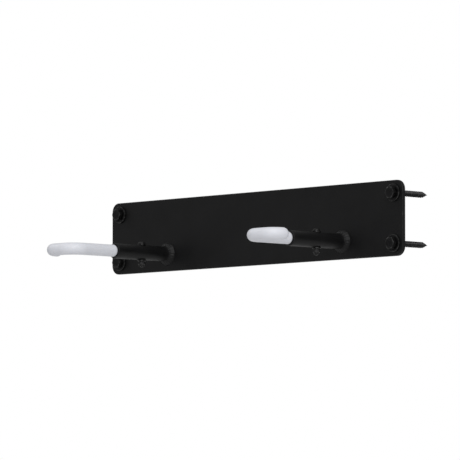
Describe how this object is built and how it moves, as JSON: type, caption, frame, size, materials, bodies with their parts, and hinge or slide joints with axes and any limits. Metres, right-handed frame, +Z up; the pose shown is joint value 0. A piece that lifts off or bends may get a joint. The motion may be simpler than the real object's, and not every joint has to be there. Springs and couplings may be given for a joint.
{
  "type": "bicycle wall rack",
  "caption": "Flat steel wall plate with a mirrored pair of sleeved hooks, which hold bicycles upright against the wall by their wheel rims.",
  "frame": {"origin": "centre of the wall plate's back face, on the wall", "axes": "+X along the plate and the wall, +Y into the wall, +Z up; the hooks reach out along -Y"},
  "size_m": [0.4318, 0.188, 0.0762],
  "materials": {
    "powder_coat": "satin black powder coat on steel",
    "bar_steel": "zinc plated steel bar, hidden in its socket and sleeve",
    "white_vinyl": "soft cool white vinyl, slight gloss",
    "black_steel": "black oxide steel, slightly worn at its edges"
  },
  "bodies": {
    "root": {"wall_plate": "powder_coat", "left_hook_socket": "powder_coat", "right_hook_socket": "powder_coat", "left_hook_bar": "bar_steel", "right_hook_bar": "bar_steel", "left_hook_sleeve": "white_vinyl", "right_hook_sleeve": "white_vinyl", "left_hook_cross_bolt": "black_steel", "right_hook_cross_bolt": "black_steel", "left_hook_lock_nut": "black_steel", "right_hook_lock_nut": "black_steel", "left_hook_upper_saddle": "black_steel", "left_hook_lower_saddle": "black_steel", "right_hook_upper_saddle": "black_steel", "right_hook_lower_saddle": "black_steel", "lag_screw_upper_left": "black_steel", "lag_screw_lower_left": "black_steel", "lag_screw_upper_right": "black_steel", "lag_screw_lower_right": "black_steel", "washer_upper_left": "black_steel", "washer_lower_left": "black_steel", "washer_upper_right": "black_steel", "washer_lower_right": "black_steel"}
  },
  "joints": []
}
